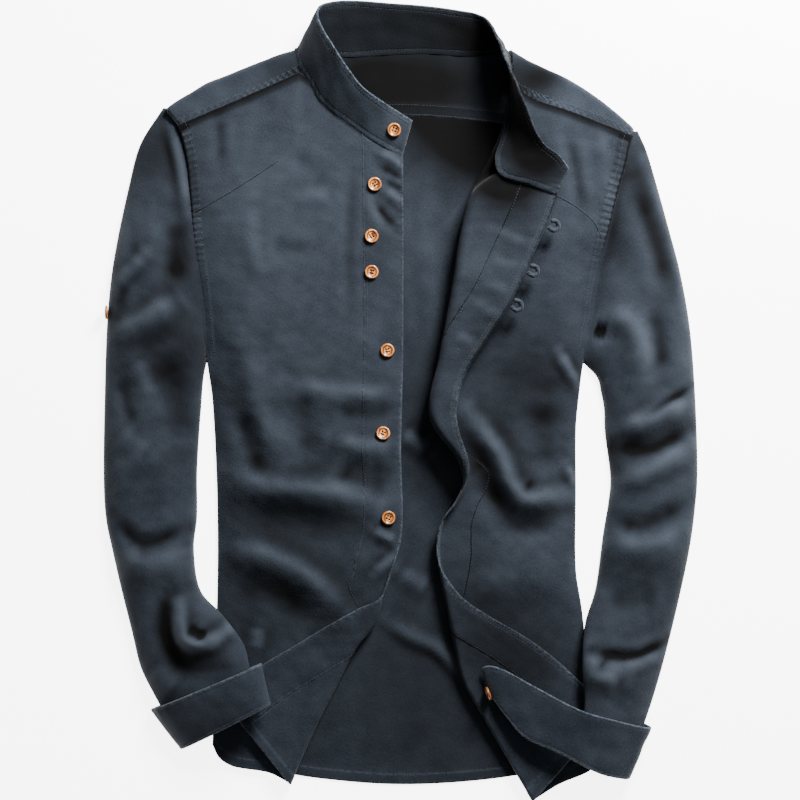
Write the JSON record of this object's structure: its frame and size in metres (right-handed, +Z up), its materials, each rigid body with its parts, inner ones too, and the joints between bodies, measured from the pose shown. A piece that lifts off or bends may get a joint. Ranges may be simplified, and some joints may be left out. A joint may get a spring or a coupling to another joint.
{
  "type": "mandarin collar shirt",
  "caption": "Dark slate-blue long-sleeved shirt with a stand collar, laid flat with its front open, cuffs turned back and wood-look buttons.",
  "frame": {"origin": "middle of the underside of the whole shirt as it lies", "axes": "+X to the wearer's left, +Y from hem to collar, +Z up from the surface it lies on"},
  "size_m": [0.5634, 0.7568, 0.0527],
  "materials": {
    "cloth": "matte cotton weave",
    "faced_cloth": "matte cotton weave, two layers",
    "button": "satin"
  },
  "bodies": {
    "root": {"back": "cloth", "yoke": "cloth", "right_front": "cloth", "left_front": "cloth", "right_placket": "faced_cloth", "left_placket": "faced_cloth", "collar": "faced_cloth", "right_sleeve": "cloth", "left_sleeve": "cloth", "right_cuff": "faced_cloth", "left_cuff": "faced_cloth", "button_1": "button", "button_2": "button", "button_3": "button", "button_4": "button", "button_5": "button", "button_6": "button", "collar_button": "button", "right_sleeve_button": "button", "left_cuff_button": "button", "loop_1": "cloth", "loop_2": "cloth", "loop_3": "cloth"}
  },
  "joints": []
}
